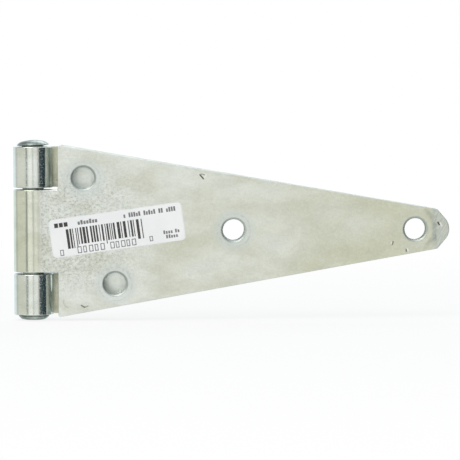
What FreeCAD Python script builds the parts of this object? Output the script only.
import FreeCAD, Part
import math
import os

from FreeCAD import Vector

# Strap hinge, zinc-plated steel, shown folded shut.
#
# Millimetres. The origin is on the pin's axis at mid-barrel, +Z runs up the pin
# and +X from the pin towards the strap tips. The back leaf lies on the +Y side
# with its faces square to Y, the front leaf on the -Y side. Each leaf's inside
# face looks at the other leaf, and its outer face looks away.
#
# Both leaves are built on the -Y side with the same curl, taper and holes. The
# back leaf is then turned half a turn about X, so the two staggered holes
# beside the barrel come out on opposite edges.

ORIGIN = Vector(0, 0, 0)
X_AXIS, Y_AXIS, Z_AXIS = Vector(1, 0, 0), Vector(0, 1, 0), Vector(0, 0, 1)

# ---- strip and barrel -------------------------------------------------------
strip_t = 3.18          # leaf thickness
pin_r = 3.97            # 5/16 in pin
bore_r = 4.06           # inside of the curl
barrel_r = bore_r + strip_t
bend_drop = 0.70        # from the barrel's crest in to the leaf's outer face
bend_deg = 15.0         # reverse bend between the curl and the flat leaf
curl_end_deg = -24.0    # where the curl's free end stops, short of the flat

face_out = barrel_r - bend_drop     # outer face to the pin's axis
face_in = face_out - strip_t        # inside face to the pin's axis

# The reverse bend is tangent to both the curl and the flat leaf.
bend_centre_dist = bend_drop / (1.0 - math.cos(math.radians(bend_deg)))
bend_x = bend_centre_dist * math.sin(math.radians(bend_deg))
bend_y = -bend_centre_dist * math.cos(math.radians(bend_deg))
lap_x = bend_x + 1.2    # where the curl's section ends, inside the plate
neck_x = bend_x + 0.6   # where the plate starts, overlapping that section

# ---- knuckles along the pin -------------------------------------------------
centre_half = 15.05     # half of the centre knuckle's length
knuckle_gap = 0.80      # between neighbouring knuckles
barrel_half = 30.75     # half of the whole barrel
outer_lo = centre_half + knuckle_gap    # near end of an outer knuckle

# ---- leaf outline -----------------------------------------------------------
base_x = 9.05           # straight shoulder of the leaf beside the barrel
base_half = 31.50       # half width at that shoulder
nose_x = 148.0          # where the taper stops
nose_half = 7.25        # half width there
tip_x = 152.40          # pin axis to the tip, 6 in
nose_r = 5.67           # round of the nose
base_corner_r = 0.80
notch_corner_r = 0.60
nose_corner_r = 0.60
neck_corner_x = base_x + 0.1    # outer necks start to widen here
step_x = 1.20           # and meet the taper this far past the shoulder
step_corner_r = 0.70
edge_r = 0.28           # die roll round the outer face's outline and curls

# ---- coined nose ------------------------------------------------------------
coin_x = 147.10         # the nose is thinner beyond this line
coin_drop = 0.42        # lost from the outer face at the very tip
coin_cut_x = tip_x + 2.0    # reach of the cutting wedge
coin_cut_depth = 2.0        # its thickness at coin_x
coin_cut_half = 12.0        # half its width

# ---- screw holes ------------------------------------------------------------
holes = [(18.40, 19.35), (29.80, -19.35), (73.20, 0.0), (139.90, 0.0)]  # x, z
hole_r = 3.95
rim_r = 4.66            # die roll round each hole, on the outer face
rim_depth = 0.40
sink_r = 5.90           # countersink on the inside face
sink_half_deg = 41.0    # 82 degree flat-head screw
hole_cut_over = 0.4     # the cutter runs this far past both faces

# ---- label ------------------------------------------------------------------
label_l = 48.9
label_w = 14.0
label_t = 0.10
label_corner_r = 1.6
label_deg = 7.8
label_x, label_z = 30.62, 0.30

# ---- how the two leaves lean together at rest -------------------------------
# The front leaf is turned from parallel until the tips almost touch.
touch_deg = math.degrees(2.0 * math.asin(face_in / tip_x))
rest_deg = touch_deg - 0.06

# ---- paths ------------------------------------------------------------------
# A path is a closed list of (point, kind). A MID point is the middle of an arc
# between its neighbours, and END points are joined by straight lines.
END, MID = "end", "mid"


def path_face(path):
    edges = []
    start, middle = path[0][0], None
    for point, kind in path[1:] + path[:1]:
        if kind == MID:
            middle = point
            continue
        if middle is None:
            edges.append(Part.makeLine(start, point))
        else:
            edges.append(Part.Arc(start, middle, point).toShape())
        start, middle = point, None
    return Part.Face(Part.Wire(edges))


def revolved(profile, axis):
    """Solid of revolution from (radius, place along the axis, kind) rows."""
    path = [(X_AXIS * r + axis * along, kind) for r, along, kind in profile]
    return path_face(path).revolve(ORIGIN, axis, 360)


def outline(corners):
    """Face in the XZ plane from (x, z, corner radius) rows."""
    points = [Vector(x, 0, z) for x, z, r in corners]
    path = []
    for i, corner in enumerate(points):
        r = corners[i][2]
        if r == 0:
            path.append((corner, END))
            continue
        to_last = (points[i - 1] - corner).normalize()
        to_next = (points[(i + 1) % len(points)] - corner).normalize()
        half_angle = math.acos(to_last.dot(to_next)) / 2.0
        setback = r / math.tan(half_angle)
        inward = (to_last + to_next).normalize()
        crest = corner + inward * (r / math.sin(half_angle) - r)
        path += [
            (corner + to_last * setback, END),
            (crest, MID),
            (corner + to_next * setback, END),
        ]
    return path_face(path)


# ---- leaves -----------------------------------------------------------------
def curl_section():
    """Section square to Z: the neck's start, the reverse bend and the curl."""
    def on_curl(r, deg):
        angle = math.radians(deg)
        return Vector(r * math.cos(angle), r * math.sin(angle), 0)

    def on_bend(r, deg):
        return on_curl(r, deg) + Vector(bend_x, bend_y, 0)

    bend_out_r = bend_centre_dist - barrel_r
    bend_in_r = bend_centre_dist - bore_r
    bend_mid = 90.0 + bend_deg / 2.0
    start, stop = -90.0 + bend_deg, curl_end_deg - 360.0
    curl_mid = (start + stop) / 2.0
    return path_face([
        (Vector(lap_x, -face_out, 0), END),
        (on_bend(bend_out_r, 90), END),
        (on_bend(bend_out_r, bend_mid), MID),
        (on_curl(barrel_r, start), END),
        (on_curl(barrel_r, curl_mid), MID),
        (on_curl(barrel_r, stop), END),
        (on_curl(bore_r, stop), END),
        (on_curl(bore_r, curl_mid), MID),
        (on_curl(bore_r, start), END),
        (on_bend(bend_in_r, bend_mid), MID),
        (on_bend(bend_in_r, 90), END),
        (Vector(lap_x, -face_in, 0), END),
    ])


def nose_apex_x():
    """Where the two nose chamfers would meet, so that rounding the corner with
    nose_r puts the tip at tip_x."""
    centre_x = tip_x - nose_r
    run = nose_x - centre_x
    reach = math.hypot(run, nose_half)
    touch = math.atan2(nose_half, run) - math.acos(nose_r / reach)
    return centre_x + nose_r / math.cos(touch)


def coin_wedge():
    """Cutter that lets the outer face fall away towards the tip."""
    fall = coin_drop / (tip_x - coin_x) * (coin_cut_x - coin_x)
    low_y = -face_out - coin_cut_depth
    corners = [
        (coin_x, -face_out),
        (coin_cut_x, -face_out + fall),
        (coin_cut_x, low_y),
        (coin_x, low_y),
    ]
    path = [(Vector(x, y, -coin_cut_half), END) for x, y in corners]
    return path_face(path).extrude(Vector(0, 0, 2 * coin_cut_half))


def hole_cutter(x, z):
    """Through hole with a rolled rim on the outer face and a countersink on
    the inside face."""
    sink_slope = math.tan(math.radians(sink_half_deg))
    outer, inside = -face_out, -face_in
    roll = 1 - math.sqrt(0.5)   # share of the rim's depth at mid-arc
    cutter = revolved([
        (0, outer - hole_cut_over, END),
        (rim_r, outer - hole_cut_over, END),
        (rim_r, outer, END),
        (rim_r - (rim_r - hole_r) * (1 - roll), outer + rim_depth * roll, MID),
        (hole_r, outer + rim_depth, END),
        (hole_r, inside - (sink_r - hole_r) / sink_slope, END),
        (sink_r + hole_cut_over * sink_slope, inside + hole_cut_over, END),
        (0, inside + hole_cut_over, END),
    ], Y_AXIS)
    cutter.translate(Vector(x, 0, z))
    return cutter


def is_rolled(edge):
    """True for the outline's edges on the outer face, from the shoulder out."""
    points = [vertex.Point for vertex in edge.Vertexes]
    on_face = all(abs(point.y + face_out) < 1e-6 for point in points)
    beyond_base = min(point.x for point in points) >= base_x - 1e-6
    return on_face and beyond_base and edge.Length > 0.05


def leaf(knuckles, shoulder):
    """A leaf on the -Y side. knuckles are z ranges. shoulder holds the outline's
    (x, z, corner radius) rows beside the barrel, for the +Z half, top down."""
    corners = shoulder + [(x, -z, r) for x, z, r in reversed(shoulder)]
    corners += [
        (nose_x, -nose_half, nose_corner_r),
        (nose_apex_x(), 0.0, nose_r),
        (nose_x, nose_half, nose_corner_r),
    ]
    body = outline(corners).extrude(Vector(0, -strip_t, 0))
    body.translate(Vector(0, -face_in, 0))

    section = curl_section()
    for low, high in knuckles:
        curl = section.extrude(Vector(0, 0, high - low))
        curl.translate(Vector(0, 0, low))
        body = body.fuse(curl)
    body = body.removeSplitter()

    # The round runs on along the necks and round the ends of each curl, which
    # are tangent to the chosen edges.
    body = body.makeFillet(edge_r, [edge for edge in body.Edges if is_rolled(edge)])
    body = body.cut(coin_wedge())
    for x, z in holes:
        body = body.cut(hole_cutter(x, z))
    return body.removeSplitter()


def front_leaf():
    """Leaf with the centre knuckle."""
    shoulder = [
        (base_x, base_half, base_corner_r),
        (base_x, centre_half, notch_corner_r),
        (neck_x, centre_half, 0),
    ]
    body = leaf([(-centre_half, centre_half)], shoulder)
    body.rotate(ORIGIN, Z_AXIS, rest_deg)
    return body


def back_leaf():
    """Leaf with the two outer knuckles."""
    taper = (base_half - nose_half) / (nose_x - base_x)
    shoulder = [
        (base_x + step_x, base_half - step_x * taper, step_corner_r),
        (neck_corner_x, barrel_half, base_corner_r),
        (neck_x, barrel_half, 0),
        (neck_x, outer_lo, 0),
        (base_x, outer_lo, notch_corner_r),
    ]
    body = leaf([(outer_lo, barrel_half), (-barrel_half, -outer_lo)], shoulder)
    body.rotate(ORIGIN, X_AXIS, 180)
    return body


# ---- pin --------------------------------------------------------------------
root_r = pin_r - 0.05   # each head's root, buried in the shank
shank_lap = 0.30        # the shank runs this far into the upper head

head_r = 5.95           # upper head
head_gap = 0.25         # clear of the barrel's end
head_rim = 0.72         # height of its widest point
head_crown = 2.50       # height of its pole
head_lean_deg = 1.8     # the upper head is set askew, towards -X

tail_r = 5.62           # lower, upset head
tail_gap = 0.15
tail_crown_drop = 0.13
tail_crown = 1.95 + tail_crown_drop

# Each head's profile: radius, height out from the barrel's end, kind.
head_profile = [
    (0.0, -0.6, END),
    (root_r, -0.6, END),
    (root_r, head_gap + 0.10, END),
    (4.75, head_gap + 0.16, END),
    (head_r - 0.10, head_rim - 0.10, END),
    (head_r, head_rim, MID),
    (head_r - 0.12, head_rim + 0.14, END),
    (5.05, head_crown - 0.94, MID),
]
tail_profile = [
    (0.0, -0.5, END),
    (root_r, -0.5, END),
    (root_r, tail_gap, END),
    (5.05, tail_gap + 0.04, END),
    (tail_r - 0.12, tail_gap + 0.20, END),
    (tail_r, tail_gap + 0.42, MID),
    (tail_r - 0.16, tail_gap + 0.66, END),
    (4.55, tail_crown - 0.36 - tail_crown_drop, MID),
]


def pin_head(profile, crown, crown_r, crown_drop, side):
    """A head at the barrel's +Z (side 1) or -Z (side -1) end. It closes with a
    spherical crown that falls by crown_drop from the pole to crown_r."""
    sphere_r = (crown_r ** 2 + crown_drop ** 2) / (2.0 * crown_drop)
    mid_drop = sphere_r - math.sqrt(sphere_r ** 2 - (crown_r / 2.0) ** 2)
    rows = profile + [
        (crown_r, crown - crown_drop, END),
        (crown_r / 2.0, crown - mid_drop, MID),
        (0.0, crown, END),
    ]
    placed = [(r, side * (barrel_half + height), kind) for r, height, kind in rows]
    return revolved(placed, Z_AXIS)


def hinge_pin():
    """Shank with a low domed head above and an upset head below."""
    upper = pin_head(head_profile, head_crown, crown_r=3.80, crown_drop=0.44, side=1)
    upper.rotate(Vector(0, 0, barrel_half), Y_AXIS, -head_lean_deg)
    shank_l = 2 * barrel_half + head_gap + shank_lap + tail_gap
    shank_base = Vector(0, 0, -barrel_half - tail_gap)
    shank = Part.makeCylinder(pin_r, shank_l, shank_base, Z_AXIS)
    lower = pin_head(
        tail_profile, tail_crown, crown_r=3.05, crown_drop=tail_crown_drop, side=-1
    )
    return shank.fuse([upper, lower]).removeSplitter()


# ---- label ------------------------------------------------------------------
def barcode_label():
    """Paper sticker on the front leaf's outer face, leaning with the leaf."""
    half_l, half_w = label_l / 2, label_w / 2
    signs = [(-1, -1), (1, -1), (1, 1), (-1, 1)]
    face = outline([(i * half_l, j * half_w, label_corner_r) for i, j in signs])
    sheet = face.extrude(Vector(0, -label_t, 0))
    sheet.rotate(ORIGIN, Y_AXIS, -label_deg)
    sheet.translate(Vector(label_x, -face_out, label_z))
    sheet.rotate(ORIGIN, Z_AXIS, rest_deg)
    return sheet


# ---- export -----------------------------------------------------------------
os.makedirs("parts", exist_ok=True)

pieces = {
    "back_leaf": back_leaf(),
    "front_leaf": front_leaf(),
    "hinge_pin": hinge_pin(),
    "barcode_label": barcode_label(),
}
for node, shape in pieces.items():
    (solid,) = shape.Solids     # each piece is a single solid
    solid.exportStep("parts/%s.step" % node)
